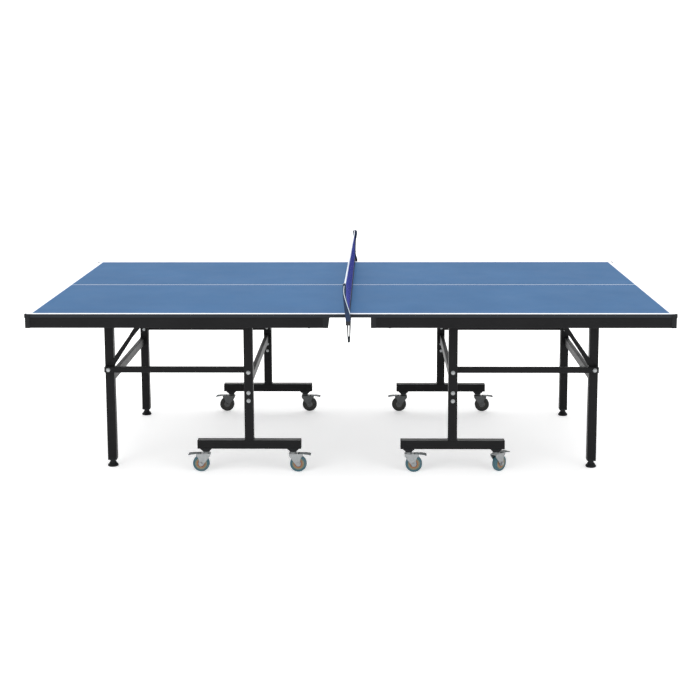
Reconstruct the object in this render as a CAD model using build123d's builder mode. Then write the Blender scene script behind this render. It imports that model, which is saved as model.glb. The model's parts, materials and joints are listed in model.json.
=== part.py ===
"""Folding ping pong table in two independent halves, with net.

Frame: origin on the floor under the middle of the net, +X along the table, +Y across it, +Z up.
Each half stands on a tee-shaped stand with four braked casters and on a pair of legs with
levelling feet.  The half turns about the tops of its stand posts; the legs stay upright because
posts, legs, table and link bars form a parallelogram.  Millimetres.
"""

import os
from math import atan2, cos, sin, sqrt

from build123d import *

os.makedirs("parts", exist_ok=True)

# ---- playing surface -------------------------------------------------------------------------
table_length = 2740.0
table_width = 1525.0
play_height = 760.0
board_thickness = 16.0
half_gap = 3.0                      # gap between the two boards at the net
board_bottom = play_height - board_thickness

# ---- steel frame under each board ------------------------------------------------------------
wall = 1.5                          # wall of every steel tube
apron_height = 45.0
apron_depth = 20.0
apron_inset = 0.5                   # board edge to outer face of the apron
apron_start = 112.5                 # net line to the inner end of the apron tube
apron_tip = 84.0                    # net line to the tip of the slanted apron cap
apron_slant = 6.0
rail_height = 20.0
rail_width = 40.0
plate = 3.0                         # hinge cheeks and stay tabs

# ---- stand, legs and linkage -----------------------------------------------------------------
tube = 40.0                         # square tube of posts, foot bars and legs
post_x = 452.0
post_y = 527.5
leg_x = 1083.0
leg_y = 447.0
pivot_z = 700.0                     # upper pivots of posts and legs
tube_above_pivot = 12.0
link_z = 456.0                      # lower pivots of the parallelogram
link_y = 485.5
link_tube = 25.0
link_overhang = 18.0                # link bar past its pivot bolt
link_plug_length = 40.0
bar_width = 20.0                    # flat tube of the two cross bars
bar_height = 40.0
stand_bar_x = 457.0
stand_bar_z = 393.0
leg_bar_x = 1093.0
leg_bar_z = 395.0
foot_bar_inner = 221.0
foot_bar_outer = 684.0
foot_bar_bottom = 108.0
cap_thickness = 3.0
clamp_bolt_z = (364.0, 328.0)       # the two bolts that hold each end plate of the stand bar
end_plate_bottom = 310.0

# ---- folding stays ---------------------------------------------------------------------------
stay_rivet = (978.0, 610.0)         # x, z of the middle rivet
stay_top = (905.0, 707.0)           # x, z of the pin under the board
stay_thickness = 3.5
stay_bar_y = 468.0                  # inner face of the lower bar
stay_lever_y = 472.5                # inner face of the upper lever
stay_tab_y = 477.0

# ---- fasteners -------------------------------------------------------------------------------
bolt_d = 8.0
bolt_head_d = 14.0
bolt_head_h = 4.5
washer_d = 18.0
washer_t = 1.5
nut_flats = 13.0
nut_h = 5.0
bolt_tip = 0.4                      # thread showing past a nut
running = 0.08                      # radial clearance of a turning fit

# ---- casters ---------------------------------------------------------------------------------
wheel_r = 37.5
wheel_width = 24.0
hub_width = 27.0
trail = 23.0
caster_inset = 37.0                 # foot bar end to swivel axis
fork_gap = 29.0                     # between the fork's side plates
fork_plate = 2.5
crown_z = 81.0
socket_bottom = 93.0
pedal_pin = (38.0, 80.0)            # x, z from the swivel axis and the floor

# ---- levelling feet --------------------------------------------------------------------------
leg_bottom = 37.0
foot_stop = 30.5
foot_base_d = 48.0

# ---- net -------------------------------------------------------------------------------------
net_height = 152.5
net_outer_y = 912.0                 # outer face of the posts
net_post_x = -2.5                   # centre plane of posts and clamps
net_cloth_x = -2.2                  # centre plane of the cloth where it meets the board
net_cloth_thickness = 1.6
clamp_width = 20.0
clamp_bottom = 736.0
jaw_right = -3.3                    # the jaws grip the left board only
post_depth = 18.0
near_lean = 15.0                    # how far the top of the near post stands off upright
lever_pin = (6.8, 740.5)            # outwards from the board's edge, and height
cord_d = 2.6

SIDES = {"left": -1, "right": 1}
ENDS = {"front": -1, "back": 1}


def block(x0, x1, y0, y1, z0, z1, mode=Mode.ADD):
    """A plain block between two corners, added to or cut from the part being built."""
    with Locations(((x0 + x1) / 2, (y0 + y1) / 2, (z0 + z1) / 2)):
        Box(abs(x1 - x0), abs(y1 - y0), abs(z1 - z0), mode=mode)


def tube_between(start, end, size_u, size_v, x_dir, holes=(), corner=3.0):
    """A straight rectangular tube from start to end, with bolt holes along Y at each (x, z)."""
    axis = Vector(*end) - Vector(*start)
    plane = Plane(origin=start, x_dir=x_dir, z_dir=axis.normalized())
    with BuildPart() as made:
        with BuildSketch(plane):
            RectangleRounded(size_u, size_v, corner)
            RectangleRounded(size_u - 2 * wall, size_v - 2 * wall, corner - wall, mode=Mode.SUBTRACT)
        extrude(amount=axis.length)
        for x, z in holes:
            drill_y(x, z, start[1] - tube, start[1] + tube, bolt_d + 2 * running)
    return made.part


def drill_y(x, z, y0, y1, diameter):
    """A cutter along Y, taken away from the part being built."""
    plane = Plane(origin=(x, min(y0, y1), z), x_dir=(1, 0, 0), z_dir=(0, 1, 0))
    with Locations(plane):
        Cylinder(diameter / 2, abs(y1 - y0), align=(Align.CENTER, Align.CENTER, Align.MIN),
                 mode=Mode.SUBTRACT)


def bolt_y(x, z, head_y, tip_y):
    """A bolt along Y: washer and domed head outside head_y, nut past tip_y, as one solid."""
    out = 1 if head_y > tip_y else -1
    head_plane = Plane(origin=(x, head_y, z), x_dir=(1, 0, 0), z_dir=(0, out, 0))
    nut_plane = Plane(origin=(x, tip_y, z), x_dir=(1, 0, 0), z_dir=(0, -out, 0))
    with BuildPart() as made:
        with BuildSketch(head_plane):
            Circle(washer_d / 2)
        extrude(amount=washer_t)
        with BuildSketch(head_plane.offset(washer_t)):
            Circle(bolt_head_d / 2)
        extrude(amount=bolt_head_h)
        fillet(made.faces().sort_by(Axis.Y)[-1 if out > 0 else 0].edges(), bolt_head_h * 0.55)
        with BuildSketch(head_plane):
            Circle(bolt_d / 2)
        extrude(amount=-(abs(head_y - tip_y) + nut_h + bolt_tip))
        with BuildSketch(nut_plane):
            RegularPolygon(nut_flats / 2, 6, major_radius=False)
        extrude(amount=nut_h)
    return made.part


def ring_y(x, z, y0, y1, outer_d, inner_d):
    """A spacer ring along Y."""
    with BuildPart() as made:
        with BuildSketch(Plane(origin=(x, min(y0, y1), z), x_dir=(1, 0, 0), z_dir=(0, 1, 0))):
            Circle(outer_d / 2)
            Circle(inner_d / 2, mode=Mode.SUBTRACT)
        extrude(amount=abs(y1 - y0))
    return made.part


def pin_y(x, z, flush_y, head_y, d, head_d, head_t):
    """A rivet along Y, flush at one end and with a low head past the other."""
    out = 1 if head_y > flush_y else -1
    plane = Plane(origin=(x, flush_y, z), x_dir=(1, 0, 0), z_dir=(0, out, 0))
    with BuildPart() as made:
        with BuildSketch(plane):
            Circle(d / 2)
        extrude(amount=abs(head_y - flush_y))
        with BuildSketch(plane.offset(abs(head_y - flush_y))):
            Circle(head_d / 2)
        extrude(amount=head_t)
        fillet(made.faces().sort_by(Axis.Y)[-1 if out > 0 else 0].edges(), head_t * 0.6)
    return made.part


def plug(face, direction, lip, depth):
    """A moulded plug in a tube's end: a lip over the wall and a body inside it."""
    plane = Plane(origin=face, x_dir=(0, 1, 0), z_dir=direction)
    with BuildPart() as made:
        if lip:
            with BuildSketch(plane):
                RectangleRounded(tube, tube, 3.0)
            extrude(amount=lip)
            chamfer(made.faces().sort_by(Axis(face, direction))[-1].edges(), min(1.2, lip * 0.6))
        with BuildSketch(plane):
            RectangleRounded(plug_size, plug_size, 1.2)
        extrude(amount=-depth)
    return made.part


def flat_link(start, end, y0, thickness, r_start, r_end, hole_start, hole_end):
    """A flat strap in the XZ plane with round, drilled ends of two radii, as one solid."""
    dx, dz = end[0] - start[0], end[1] - start[1]
    length = sqrt(dx * dx + dz * dz)
    plane = Plane(origin=(start[0], y0, start[1]), x_dir=(dx, 0, dz), z_dir=(0, 1, 0))
    lean = atan2(r_start - r_end, length)
    tangent = Vector(sin(lean), cos(lean))
    with BuildPart() as made:
        with BuildSketch(plane):
            Circle(r_start)
            with Locations((length, 0)):
                Circle(r_end)
            with BuildLine():
                Polyline((tangent.X * r_start, tangent.Y * r_start),
                         (length + tangent.X * r_end, tangent.Y * r_end),
                         (length + tangent.X * r_end, -tangent.Y * r_end),
                         (tangent.X * r_start, -tangent.Y * r_start), close=True)
            make_face()
            Circle(hole_start / 2, mode=Mode.SUBTRACT)
            with Locations((length, 0)):
                Circle(hole_end / 2, mode=Mode.SUBTRACT)
        extrude(amount=thickness)
    return made.part


def for_side(solids, side):
    """The right-hand pieces as they are, or mirrored for the left half."""
    return list(solids) if side == "right" else [solid.mirror(Plane.YZ) for solid in solids]


def save_group(solids, label):
    """Writes a node: one piece, or several that share it as separate solids."""
    export_step(Compound(solids, label=label), f"parts/{label}.step")


# ---- table half ------------------------------------------------------------------------------
apron_outer_y = table_width / 2 - apron_inset
apron_y = apron_outer_y - apron_depth / 2
apron_z = board_bottom - apron_height / 2
apron_end_x = table_length / 2 - apron_inset
end_apron_x = apron_end_x - apron_depth / 2
rail_z = board_bottom - rail_height / 2
rail_reach = apron_y - apron_depth / 2
inner_rail_x = 142.0
bump_screw_x = 171.0
plug_size = tube - 2 * wall - 0.2


def board():
    """One half of the top: a 16 mm board with eased edges."""
    with BuildPart() as made:
        with BuildSketch(Plane.XY.offset(board_bottom)):
            with Locations(((half_gap / 2 + table_length / 2) / 2, 0)):
                Rectangle(table_length / 2 - half_gap / 2, table_width)
        extrude(amount=board_thickness)
        chamfer(made.edges().group_by(Axis.Z)[-1], 0.8)
        chamfer(made.edges().group_by(Axis.Z)[0], 0.8)
    return made.part


def hinge_cheek(x, y0):
    """A plate welded under a rail, with the hole of an upper pivot."""
    top = board_bottom - rail_height
    with BuildPart() as made:
        with BuildSketch(Plane(origin=(x, y0, pivot_z), x_dir=(1, 0, 0), z_dir=(0, -1, 0))):
            with BuildLine():
                Polyline((-16, 0), (-rail_width / 2, top - pivot_z), (rail_width / 2, top - pivot_z),
                         (16, 0))
                ThreePointArc((16, 0), (0, -16), (-16, 0))
            make_face()
            Circle(bolt_d / 2 + running, mode=Mode.SUBTRACT)
        extrude(amount=-plate)
    return made.part


def stay_tab(end):
    """The angle under the board that holds the top pin of a stay."""
    s = ENDS[end]
    x, z = stay_top
    flange = 28.0
    with BuildPart() as made:
        block(x - 18, x + 18, s * stay_tab_y, s * (stay_tab_y + plate), z - 12, board_bottom)
        block(x - 25, x + 25, s * stay_tab_y, s * (stay_tab_y + flange), board_bottom - plate,
              board_bottom)
        drill_y(x, z, s * (stay_tab_y - 1), s * (stay_tab_y + plate + 1), 6.1)
        with Locations((x - 17, s * (stay_tab_y + 16), board_bottom),
                       (x + 17, s * (stay_tab_y + 16), board_bottom)):
            Hole(2.6)
    return made.part


def table_bolts():
    """Upper pivot bolts, stay pins, tab screws and the bump screws under the side aprons."""
    solids = []
    for x, y in ((post_x, post_y), (leg_x, leg_y)):
        for s in (-1, 1):
            reach = tube / 2 + 0.5 + plate
            solids.append(bolt_y(x, pivot_z, s * (y + reach), s * (y - reach)))
    x, z = stay_top
    for s in (-1, 1):
        solids.append(pin_y(x, z, s * (stay_lever_y + 0.1), s * (stay_tab_y + plate), 6.0, 11.0, 2.5))
        for screw_x in (x - 17, x + 17):
            with BuildPart() as screw:
                with Locations((screw_x, s * (stay_tab_y + 16), board_bottom - plate)):
                    Cylinder(4.5, 2.2, align=(Align.CENTER, Align.CENTER, Align.MAX))
                    Cylinder(2.5, plate, align=(Align.CENTER, Align.CENTER, Align.MIN))
                fillet(screw.faces().sort_by(Axis.Z)[0].edges(), 1.2)
            solids.append(screw.part)
        with BuildPart() as bump:
            with Locations((bump_screw_x, s * apron_y, apron_z - apron_height / 2)):
                Cylinder(6.0, 3.0, align=(Align.CENTER, Align.CENTER, Align.MAX))
            fillet(bump.faces().sort_by(Axis.Z)[0].edges(), 1.5)
        solids.append(bump.part)
    return solids


def table_frame():
    """Side and end aprons, cross rails, middle rail, hinge cheeks and stay tabs of one half."""
    along, across = (0, 1, 0), (1, 0, 0)
    solids = [
        tube_between((apron_start, s * apron_y, apron_z), (apron_end_x, s * apron_y, apron_z),
                     apron_depth, apron_height, along) for s in (-1, 1)]
    solids.append(tube_between((end_apron_x, -rail_reach, apron_z), (end_apron_x, rail_reach, apron_z),
                               apron_depth, apron_height, across))
    solids.append(tube_between((inner_rail_x, -rail_reach, rail_z), (inner_rail_x, rail_reach, rail_z),
                               apron_depth, rail_height, across))
    for x in (post_x, leg_x):
        solids.append(tube_between((x, -rail_reach, rail_z), (x, rail_reach, rail_z),
                                   rail_width, rail_height, across))
    solids.append(tube_between((post_x + rail_width / 2, 0, rail_z), (leg_x - rail_width / 2, 0, rail_z),
                               rail_width, rail_height, along))
    for x, y in ((post_x, post_y), (leg_x, leg_y)):
        for s in (-1, 1):
            for face in (-tube / 2 - 0.5 - plate, tube / 2 + 0.5):
                solids.append(hinge_cheek(x, s * y + face))
    solids += [stay_tab(end) for end in ENDS]
    return solids


def corner_guard(s):
    """The moulded guard round an outer corner of board and apron."""
    reach, stand_x, stand_y, step = 15.0, 8.5, 5.0, 2.0
    x1, y1 = table_length / 2, table_width / 2
    with BuildPart() as made:
        with BuildSketch(Plane.XY.offset(board_bottom)):
            with Locations((x1 + (stand_x - reach) / 2, s * (y1 + (stand_y - reach) / 2))):
                RectangleRounded(reach + stand_x, reach + stand_y, 4.0)
        extrude(amount=board_thickness)
        fillet(made.edges().group_by(Axis.Z)[-1], 1.5)
        with BuildSketch(Plane.XY.offset(board_bottom)):
            with Locations((x1 + (stand_x - step - reach) / 2, s * (y1 + (stand_y - step - reach) / 2))):
                RectangleRounded(reach + stand_x - step, reach + stand_y - step, 2.8)
        extrude(amount=-apron_height)
        block(0, x1, 0, s * y1, board_bottom, play_height + 1, Mode.SUBTRACT)
        block(0, apron_end_x, 0, s * apron_outer_y, apron_z - apron_height, board_bottom,
              Mode.SUBTRACT)
    return made.part


def apron_cap(s, top_x, bottom_x):
    """The moulded cap on the inner end of a side apron, between its tips at top and bottom."""
    with BuildPart() as made:
        with BuildSketch(Plane(origin=(0, s * apron_y, apron_z), x_dir=(1, 0, 0), z_dir=(0, -1, 0))):
            half = apron_height / 2
            with BuildLine():
                Polyline((top_x, half), (apron_start, half), (apron_start, -half), (bottom_x, -half),
                         close=True)
            make_face()
        extrude(amount=apron_depth / 2, both=True)
        fillet(made.faces().sort_by(Axis.X)[0].edges(), 2.0)
    return made.part


def table_trim():
    """Corner guards and apron caps; the front cap of the right half is square, its back cap slanted."""
    square, slanted = apron_tip + apron_slant, apron_tip
    return [corner_guard(-1), corner_guard(1), apron_cap(-1, square, square),
            apron_cap(1, slanted, slanted + apron_slant)]


# ---- stand: two welded tees, a cross bar, moulded fittings -------------------------------------
foot_bar_z = foot_bar_bottom + tube / 2
post_bottom = foot_bar_bottom + tube
post_top = pivot_z + tube_above_pivot
post_inner = post_y - tube / 2
end_plate = 4.0


def tee_frames():
    """Two posts, each standing on its foot bar."""
    solids = []
    for s in (-1, 1):
        holes = [(post_x, z) for z in (pivot_z, link_z, *clamp_bolt_z)]
        solids.append(tube_between((post_x, s * post_y, post_bottom), (post_x, s * post_y, post_top),
                                   tube, tube, (1, 0, 0), holes))
        solids.append(tube_between((foot_bar_inner + cap_thickness, s * post_y, foot_bar_z),
                                   (foot_bar_outer - cap_thickness, s * post_y, foot_bar_z),
                                   tube, tube, (0, 1, 0)))
    return solids


def stand_bar():
    """The flat tube between the posts, with a drilled end plate at each post."""
    reach = post_inner - end_plate
    solids = [tube_between((stand_bar_x, -reach, stand_bar_z), (stand_bar_x, reach, stand_bar_z),
                           bar_width, bar_height, (1, 0, 0))]
    for s in (-1, 1):
        with BuildPart() as end:
            block(post_x - 18, post_x + 18, s * reach, s * post_inner, end_plate_bottom,
                  stand_bar_z + bar_height / 2)
            fillet(end.edges().filter_by(Axis.Y), 4.0)
            for z in clamp_bolt_z:
                drill_y(post_x, z, s * (reach - 1), s * (post_inner + 1), bolt_d + 2 * running)
        solids.append(end.part)
    return solids


def stand_bolts():
    """Clamp bolts of the end plates and the lower pivot bolts with their spacers."""
    solids = []
    for s in (-1, 1):
        outer = post_y + tube / 2
        for z in clamp_bolt_z:
            solids.append(bolt_y(post_x, z, s * outer, s * (post_inner - end_plate)))
        solids.append(bolt_y(post_x, link_z, s * outer, s * (link_y - link_tube / 2 - 0.5)))
        solids.append(ring_y(post_x, link_z, s * (link_y + link_tube / 2 + 0.4), s * post_inner, 14.0,
                             bolt_d + 0.2))
    return solids


def caster_socket(x, y):
    """The moulded socket under a foot bar, tapering from the bar's width to a round neck."""
    with BuildPart() as made:
        with BuildSketch(Plane.XY.offset(foot_bar_bottom)):
            with Locations((x, y)):
                RectangleRounded(50.0, tube, 6.0)
        with BuildSketch(Plane.XY.offset(foot_bar_bottom - 3)):
            with Locations((x, y)):
                RectangleRounded(50.0, tube, 6.0)
        with BuildSketch(Plane.XY.offset(socket_bottom + 2)):
            with Locations((x, y)):
                RectangleRounded(33.0, 33.0, 16.0)
        loft(ruled=True)
        with Locations((x, y, socket_bottom)):
            Cylinder(16.5, 2.0, align=(Align.CENTER, Align.CENTER, Align.MIN))
            Cylinder(5.0 + running, foot_bar_bottom - 1.5 - socket_bottom,
                     align=(Align.CENTER, Align.CENTER, Align.MIN), mode=Mode.SUBTRACT)
    return made.part


def stand_fittings():
    """Foot bar caps, caster sockets and the plugs in the tops of the posts."""
    solids = []
    for s in (-1, 1):
        solids.append(plug((foot_bar_outer - cap_thickness, s * post_y, foot_bar_z), (1, 0, 0),
                           cap_thickness, 12.0))
        solids.append(plug((foot_bar_inner + cap_thickness, s * post_y, foot_bar_z), (-1, 0, 0),
                           cap_thickness, 12.0))
        solids.append(plug((post_x, s * post_y, post_top), (0, 0, 1), 0.0, 6.0))
        for x in (foot_bar_inner + caster_inset, foot_bar_outer - caster_inset):
            solids.append(caster_socket(x, s * post_y))
    return solids


# ---- legs ------------------------------------------------------------------------------------
leg_top = pivot_z + tube_above_pivot
plug_lip = leg_bottom - foot_stop - 0.5


def leg_frame():
    """Two legs and the flat tube welded between them."""
    holes = [(leg_x, pivot_z), (leg_x, link_z)]
    solids = [tube_between((leg_x, s * leg_y, leg_bottom), (leg_x, s * leg_y, leg_top), tube, tube,
                           (1, 0, 0), holes) for s in (-1, 1)]
    reach = leg_y - tube / 2
    solids.append(tube_between((leg_bar_x, -reach, leg_bar_z), (leg_bar_x, reach, leg_bar_z),
                               bar_width, bar_height, (1, 0, 0)))
    return solids


def leg_plugs():
    """Top plugs, and bottom plugs bored for the levelling feet."""
    solids = []
    for s in (-1, 1):
        solids.append(plug((leg_x, s * leg_y, leg_top), (0, 0, 1), 0.0, 6.0))
        bottom = plug((leg_x, s * leg_y, leg_bottom), (0, 0, -1), plug_lip, 26.0)
        with BuildPart() as bored:
            add(bottom)
            with Locations((leg_x, s * leg_y, leg_bottom - plug_lip)):
                Cylinder(bolt_d / 2 + running, plug_lip + 24.0,
                         align=(Align.CENTER, Align.CENTER, Align.MIN), mode=Mode.SUBTRACT)
        solids.append(bored.part)
    return solids


def knee_bolts():
    """Lower pivot bolts of the legs, through link bar, stay and leg."""
    return [bolt_y(leg_x, link_z, s * (link_y + link_tube / 2 + 0.4), s * (leg_y - tube / 2))
            for s in (-1, 1)]


def levelling_foot(end):
    """A screw foot: threaded stem, neck and flared base."""
    with BuildPart() as made:
        with BuildSketch(Plane.XZ):
            with BuildLine():
                Polyline((0, 0), (foot_base_d / 2 - 1.5, 0), (foot_base_d / 2, 1.5),
                         (foot_base_d / 2, 7), (16, 14), (13, 22), (13, foot_stop), (bolt_d / 2, foot_stop),
                         (bolt_d / 2, 56), (0, 56), close=True)
            make_face()
        revolve(axis=Axis.Z)
    return [made.part.moved(Location((leg_x, ENDS[end] * leg_y, 0)))]


# ---- link bars and stays ---------------------------------------------------------------------
def link_bars():
    """Square tubes with plugged ends that keep the legs parallel to the posts."""
    solids = []
    start, end = post_x - link_overhang, leg_x + link_overhang
    inside = link_tube - 2 * wall - 0.2
    for s in (-1, 1):
        holes = [(post_x, link_z), (leg_x, link_z)]
        solids.append(tube_between((start + 2, s * link_y, link_z), (end - 2, s * link_y, link_z),
                                   link_tube, link_tube, (0, 1, 0), holes, corner=2.5))
        for tip, out, bolt in ((start, -1, post_x), (end, 1, leg_x)):
            with BuildPart() as tip_plug:
                block(tip, tip - out * 2, s * link_y - link_tube / 2, s * link_y + link_tube / 2,
                      link_z - link_tube / 2, link_z + link_tube / 2)
                fillet(tip_plug.edges().filter_by(Axis.X), 2.5)
                block(tip - out * 2, tip - out * link_plug_length, s * link_y - inside / 2,
                      s * link_y + inside / 2, link_z - inside / 2, link_z + inside / 2)
                drill_y(bolt, link_z, s * link_y - link_tube, s * link_y + link_tube,
                        bolt_d + 2 * running)
            solids.append(tip_plug.part)
    return solids


def stay_bars():
    """Lower straps of the folding stays, from the knee bolt to the middle rivet."""
    knee = (leg_x, link_z)
    return [flat_link(knee, stay_rivet, stay_bar_y if s > 0 else -stay_bar_y - stay_thickness,
                      stay_thickness, 12.0, 8.5, bolt_d + 2 * running, 6.1) for s in (-1, 1)]


def stay_levers():
    """Upper straps of the stays, widening towards the board, with the middle rivets."""
    solids = []
    for s in (-1, 1):
        y0 = stay_lever_y if s > 0 else -stay_lever_y - stay_thickness
        solids.append(flat_link(stay_rivet, stay_top, y0, stay_thickness, 9.5, 15.0, 6.1,
                                6.0 + 2 * running))
        solids.append(pin_y(*stay_rivet, s * (stay_lever_y + 0.1), s * (stay_lever_y + stay_thickness),
                            6.0, 11.0, 2.2))
    return solids


# ---- casters, drawn with the swivel axis at x = y = 0 and the trail along +X --------------------
axle = (trail, wheel_r)             # x, z of the axle
fork_side = fork_gap / 2 + fork_plate


def caster_fork():
    """Pressed fork with its bearing cup and stem, the axle bolt and the pedal pin."""
    with BuildPart() as fork:
        for y0 in (-fork_side, fork_gap / 2):
            with BuildSketch(Plane(origin=(0, y0, 0), x_dir=(1, 0, 0), z_dir=(0, -1, 0))):
                top = crown_z + 3
                with BuildLine():
                    Polyline((axle[0] - 10.3, axle[1] - 3.8), (-17, 72), (-19, 77), (-19, top),
                             (43, top))
                    ThreePointArc((43, top), (45.5, 78), (41, 73))
                    ThreePointArc((41, 73), (33.5, 60), (axle[0] + 10.3, axle[1] + 3.8))
                    ThreePointArc((axle[0] + 10.3, axle[1] + 3.8), (axle[0], axle[1] - 11),
                                  (axle[0] - 10.3, axle[1] - 3.8))
                make_face()
                with Locations(axle):
                    Circle(bolt_d / 2 + running, mode=Mode.SUBTRACT)
                with Locations(pedal_pin):
                    Circle(2.1, mode=Mode.SUBTRACT)
            extrude(amount=-fork_plate)
        block(-19, 22, -fork_side, fork_side, crown_z, crown_z + 3)
        with Locations((0, 0, crown_z + 3)):
            Cone(19.0, 15.0, 5.0, align=(Align.CENTER, Align.CENTER, Align.MIN))
            Cylinder(11.0, socket_bottom - 0.6 - crown_z - 3,
                     align=(Align.CENTER, Align.CENTER, Align.MIN))
            Cylinder(5.0, foot_bar_bottom - 3 - crown_z - 3,
                     align=(Align.CENTER, Align.CENTER, Align.MIN))
    return [fork.part, bolt_y(*axle, fork_side, -fork_side),
            pin_y(*pedal_pin, -fork_side, fork_side, 4.0, 8.0, 1.5)]


def caster_wheel():
    """A bonded wheel: hub, stepped centre and rounded tread, turned about the axle."""
    half, hub = wheel_width / 2, hub_width / 2
    bore = bolt_d / 2 + running
    with BuildPart() as made:
        with BuildSketch(Plane.XZ):
            with Locations((0, 0)):
                with BuildLine():
                    Polyline((bore, -hub), (9, -hub), (10, -hub + 1), (10, -9), (19, -9), (21, -half + 1),
                             (28, -half + 1), (29, -half + 2))
                    Polyline((29, -half + 2), (30, -half), (33, -half))
                    ThreePointArc((33, -half), (36.3, -half + 2.0), (wheel_r, -half + 5.5))
                    Line((wheel_r, -half + 5.5), (wheel_r, half - 5.5))
                    ThreePointArc((wheel_r, half - 5.5), (36.3, half - 2.0), (33, half))
                    Polyline((33, half), (30, half), (29, half - 2), (28, half - 1), (21, half - 1),
                             (19, 9), (10, 9), (10, hub - 1), (9, hub), (bore, hub), (bore, -hub))
                make_face()
        revolve(axis=Axis.Z)
    return [made.part.rotate(Axis.X, 90).moved(Location((axle[0], 0, axle[1])))]


def brake_pedal():
    """The brake pedal: a curved plate with two ears on its pin and a thick toe."""
    inner, outer = 12.6, 16.5
    ear = 2.2
    px, pz = pedal_pin
    with BuildPart() as made:
        for half_width, spans in (
                (inner, ((29, 84.6), (40, 84.8), (51, 84.4))),
                (outer, ((50, 84.4), (62, 83.4), (72, 81.8)))):
            with BuildSketch(Plane.XZ):
                with BuildLine():
                    (x0, z0), (x1, z1), (x2, z2) = spans
                    Spline((x0, z0), (x1, z1), (x2, z2))
                    Polyline((x2, z2), (x2, z2 - 2.5))
                    Spline((x2, z2 - 2.5), (x1, z1 - 2.5), (x0, z0 - 2.5))
                    Polyline((x0, z0 - 2.5), (x0, z0))
                make_face()
            extrude(amount=half_width, both=True)
        with BuildSketch(Plane.XZ):
            with BuildLine():
                Polyline((70, 83.0), (79, 81.0), (80, 79.2), (79, 77.4), (76, 77.6), (70, 79.2), close=True)
            make_face()
        extrude(amount=outer, both=True)
        for y0 in (-inner, inner - ear):
            with BuildSketch(Plane(origin=(0, y0, 0), x_dir=(1, 0, 0), z_dir=(0, -1, 0))):
                with Locations((px, pz)):
                    Circle(4.4)
                with Locations((px, pz + 1.6)):
                    Rectangle(8.8, 4.6)
                with Locations((px, pz)):
                    Circle(2.0 + running, mode=Mode.SUBTRACT)
            extrude(amount=-ear)
    return [made.part]


# ---- net -------------------------------------------------------------------------------------
board_edge = table_width / 2
post_inner_y = net_outer_y - post_depth


def net_post(s, lean, flare, top_half, foot_z):
    """A clamp over the left board's edge, an arm and a post that flares at its foot, in one piece."""
    left, right = net_post_x - clamp_width / 2, net_post_x + clamp_width / 2
    cheek = 2.0

    def out(v):
        return s * (board_edge + v)

    with BuildPart() as made:
        block(left, jaw_right, out(-34), out(4), play_height, play_height + 4.5)
        block(left, jaw_right, out(1), out(4), board_bottom + 2, play_height + 4.5)
        block(jaw_right, right, out(1), out(4), board_bottom + 2, play_height - 3)
        block(left, left + cheek, out(1), out(14), clamp_bottom, play_height - 3)
        block(right - cheek, right, out(1), out(14), clamp_bottom, play_height - 3)
        block(left, right, out(11.5), out(14), clamp_bottom, play_height - 3)
        block(net_post_x - 5.5, net_post_x + 5.5, out(13), s * post_inner_y, 749, 756)
        pin_plane = Plane(origin=(left - 1.5, out(lever_pin[0]), lever_pin[1]), x_dir=(0, 1, 0),
                          z_dir=(1, 0, 0))
        with Locations(pin_plane):
            Cylinder(2.0, clamp_width + 3, align=(Align.CENTER, Align.CENTER, Align.MIN))
        screw_plane = Plane(origin=(net_post_x, out(14), 741), x_dir=(1, 0, 0), z_dir=(0, s, 0))
        with Locations(screw_plane):
            Cylinder(4.2, 2.0, align=(Align.CENTER, Align.CENTER, Align.MIN))
        with BuildSketch(Plane(origin=(0, s * net_outer_y, 0), x_dir=(1, 0, 0), z_dir=(0, -1, 0))):
            top_x = net_post_x - lean
            waist = (net_post_x - 0.25 * lean + 5.5, 800)
            with BuildLine():
                Polyline((net_post_x + flare, 757), (net_post_x + flare, foot_z), (left, foot_z), (left, 757),
                         (top_x - 6, 860), (top_x - top_half, 890), (top_x - top_half, 906))
                ThreePointArc((top_x - top_half, 906), (top_x, 914), (top_x + top_half, 906))
                Polyline((top_x + top_half, 906), (top_x + top_half, 890), (top_x + 6, 860), waist)
                ThreePointArc(waist, (net_post_x + 7.2 + 0.1 * flare, 775), (net_post_x + flare, 757))
            make_face()
        extrude(amount=s * post_depth)
    return made.part


def net_lever(s):
    """The spring lever under a clamp: a tapered, slotted grip and a jaw arm under the board."""
    half = clamp_width / 2 - 2.3
    left, right = net_post_x - half, net_post_x + half
    pin_v, pin_z = lever_pin

    def out(v):
        return s * (board_edge + v)

    with BuildPart() as made:
        with BuildSketch(Plane(origin=(net_post_x, out(pin_v - 3), pin_z), x_dir=(1, 0, 0),
                               z_dir=(0, -1, 0))):
            with BuildLine():
                Polyline((-5.3, -97), (-9.3, -9.5), (-half, -6.5), (-half, 0), (half, 0), (half, -6.5),
                         (9.3, -9.5), (5.3, -97))
                ThreePointArc((5.3, -97), (0, -102.3), (-5.3, -97))
            make_face()
            with BuildLine():
                Polyline((-1.6, -76), (-2.5, -10.5), (2.5, -10.5), (1.6, -76), close=True)
            make_face(mode=Mode.SUBTRACT)
        extrude(amount=-5 * s)
        with Locations(Plane(origin=(left, out(pin_v), pin_z), x_dir=(0, 1, 0), z_dir=(1, 0, 0))):
            Cylinder(4.2, right - left, align=(Align.CENTER, Align.CENTER, Align.MIN))
        block(left, jaw_right - 0.5, out(-24), out(pin_v), pin_z - 2.5, pin_z + 2.5)
        block(left, jaw_right - 0.5, out(-24), out(-14), pin_z + 2.4, board_bottom - 0.4)
        with Locations(Plane(origin=(left - 1, out(pin_v), pin_z), x_dir=(0, 1, 0), z_dir=(1, 0, 0))):
            Cylinder(2.0 + running, right - left + 2,
                     align=(Align.CENTER, Align.CENTER, Align.MIN), mode=Mode.SUBTRACT)
    return [made.part]


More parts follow.
